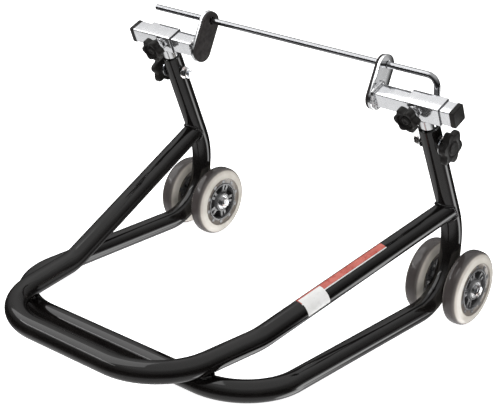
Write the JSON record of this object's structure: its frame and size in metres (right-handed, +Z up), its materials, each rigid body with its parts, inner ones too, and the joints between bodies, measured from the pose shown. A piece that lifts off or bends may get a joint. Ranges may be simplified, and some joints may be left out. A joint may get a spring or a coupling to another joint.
{
  "type": "paddock stand",
  "caption": "Tubular steel rear paddock stand on paired roller wheels, with height- and width-adjustable receivers joined by a through-axle rod.",
  "frame": {"origin": "on the floor, in the frame's middle plane, halfway between the front of the handle and the back of the wheels", "axes": "+X to the stand's right, +Y to the rear where the wheels are, +Z up; the floor is z = 0"},
  "size_m": [0.5281, 0.5369, 0.3518],
  "materials": {
    "gloss_paint": "gloss black powder coat",
    "chrome": "bright chrome plate",
    "zinc": "bright zinc plate",
    "knob_plastic": "satin black moulding",
    "pad_rubber": "matte black rubber",
    "urethane": "smoky translucent urethane",
    "core_plastic": "dark grey moulded nylon",
    "bearing_steel": "ground bearing steel with pressed shields"
  },
  "bodies": {
    "frame": {"base_loop": "gloss_paint", "handle_loop": "gloss_paint", "axle_boss_right": "gloss_paint", "axle_bolt_right": "zinc", "axle_nut_right": "zinc", "axle_spacer_right_outer": "zinc", "wheel_right_outer_hub_sleeve": "zinc", "axle_spacer_right_inner": "zinc", "wheel_right_inner_hub_sleeve": "zinc", "clamp_nut_right": "zinc", "clamp_washer_right": "zinc", "axle_boss_left": "gloss_paint", "axle_bolt_left": "zinc", "axle_nut_left": "zinc", "axle_spacer_left_outer": "zinc", "wheel_left_outer_hub_sleeve": "zinc", "axle_spacer_left_inner": "zinc", "wheel_left_inner_hub_sleeve": "zinc", "clamp_nut_left": "zinc", "clamp_washer_left": "zinc"},
    "wheel_right_outer": {"wheel_right_outer_tyre": "urethane", "wheel_right_outer_core": "core_plastic", "wheel_right_outer_bearing_a": "bearing_steel", "wheel_right_outer_bearing_b": "bearing_steel"},
    "wheel_right_inner": {"wheel_right_inner_tyre": "urethane", "wheel_right_inner_core": "core_plastic", "wheel_right_inner_bearing_a": "bearing_steel", "wheel_right_inner_bearing_b": "bearing_steel"},
    "clamp_screw_right": {"clamp_bolt_right": "zinc", "clamp_knob_right": "knob_plastic"},
    "mast_carrier_right": {"mast_right": "chrome", "sleeve_right": "chrome", "sleeve_nut_right": "chrome"},
    "arm_screw_right": {"sleeve_screw_right": "zinc", "sleeve_knob_right": "knob_plastic"},
    "receiver_arm_right": {"arm_right": "chrome", "arm_cap_right": "knob_plastic", "receiver_plate_right": "chrome", "receiver_pad_right": "pad_rubber"},
    "wheel_left_outer": {"wheel_left_outer_tyre": "urethane", "wheel_left_outer_core": "core_plastic", "wheel_left_outer_bearing_a": "bearing_steel", "wheel_left_outer_bearing_b": "bearing_steel"},
    "wheel_left_inner": {"wheel_left_inner_tyre": "urethane", "wheel_left_inner_core": "core_plastic", "wheel_left_inner_bearing_a": "bearing_steel", "wheel_left_inner_bearing_b": "bearing_steel"},
    "clamp_screw_left": {"clamp_bolt_left": "zinc", "clamp_knob_left": "knob_plastic"},
    "mast_carrier_left": {"mast_left": "chrome", "sleeve_left": "chrome", "sleeve_nut_left": "chrome"},
    "arm_screw_left": {"sleeve_screw_left": "zinc", "sleeve_knob_left": "knob_plastic"},
    "receiver_arm_left": {"arm_left": "chrome", "arm_cap_left": "knob_plastic", "receiver_plate_left": "chrome", "receiver_pad_left": "pad_rubber"},
    "axle_rod": {"axle_rod": "chrome"}
  },
  "joints": [
    {"name": "wheel_right_outer_spin", "type": "hinge", "parent": "frame", "child": "wheel_right_outer", "pos_m": [0.244, 0.2186, 0.05], "axis": [1, 0, 0], "continuous": true},
    {"name": "wheel_right_inner_spin", "type": "hinge", "parent": "frame", "child": "wheel_right_inner", "pos_m": [0.187, 0.2186, 0.05], "axis": [1, 0, 0], "continuous": true},
    {"name": "clamp_screw_right_turn", "type": "hinge", "parent": "frame", "child": "clamp_screw_right", "pos_m": [0.21188, 0.14275, 0.25382], "axis": [1, 0, 0], "range_deg": [0, 360]},
    {"name": "mast_right_height", "type": "slide", "parent": "frame", "child": "mast_carrier_right", "axis": [-0.0213, -0.4797, 0.8772], "range_m": [-0.01, 0.02]},
    {"name": "arm_screw_right_turn", "type": "hinge", "parent": "mast_carrier_right", "child": "arm_screw_right", "pos_m": [0.204, 0.11574, 0.3032], "axis": [0, -0.8942, -0.4478], "range_deg": [0, 360]},
    {"name": "arm_right_reach", "type": "slide", "parent": "mast_carrier_right", "child": "receiver_arm_right", "axis": [1, 0, 0], "range_m": [-0.013, 0.038]},
    {"name": "wheel_left_outer_spin", "type": "hinge", "parent": "frame", "child": "wheel_left_outer", "pos_m": [-0.244, 0.2186, 0.05], "axis": [1, 0, 0], "continuous": true},
    {"name": "wheel_left_inner_spin", "type": "hinge", "parent": "frame", "child": "wheel_left_inner", "pos_m": [-0.187, 0.2186, 0.05], "axis": [1, 0, 0], "continuous": true},
    {"name": "clamp_screw_left_turn", "type": "hinge", "parent": "frame", "child": "clamp_screw_left", "pos_m": [-0.21188, 0.14275, 0.25382], "axis": [-1, 0, 0], "range_deg": [0, 360]},
    {"name": "mast_left_height", "type": "slide", "parent": "frame", "child": "mast_carrier_left", "axis": [0.0213, -0.4797, 0.8772], "range_m": [-0.01, 0.02]},
    {"name": "arm_screw_left_turn", "type": "hinge", "parent": "mast_carrier_left", "child": "arm_screw_left", "pos_m": [-0.21, 0.11574, 0.3032], "axis": [0, -0.8942, -0.4478], "range_deg": [0, 360]},
    {"name": "arm_left_reach", "type": "slide", "parent": "mast_carrier_left", "child": "receiver_arm_left", "axis": [-1, 0, 0], "range_m": [-0.02, 0.034]},
    {"name": "rod_slide", "type": "slide", "parent": "receiver_arm_right", "child": "axle_rod", "axis": [1, 0, 0], "range_m": [-0.045, 0.3]}
  ],
  "couplings": [
    {"joint": "mast_left_height", "follows": "mast_right_height", "ratio": 1}
  ]
}
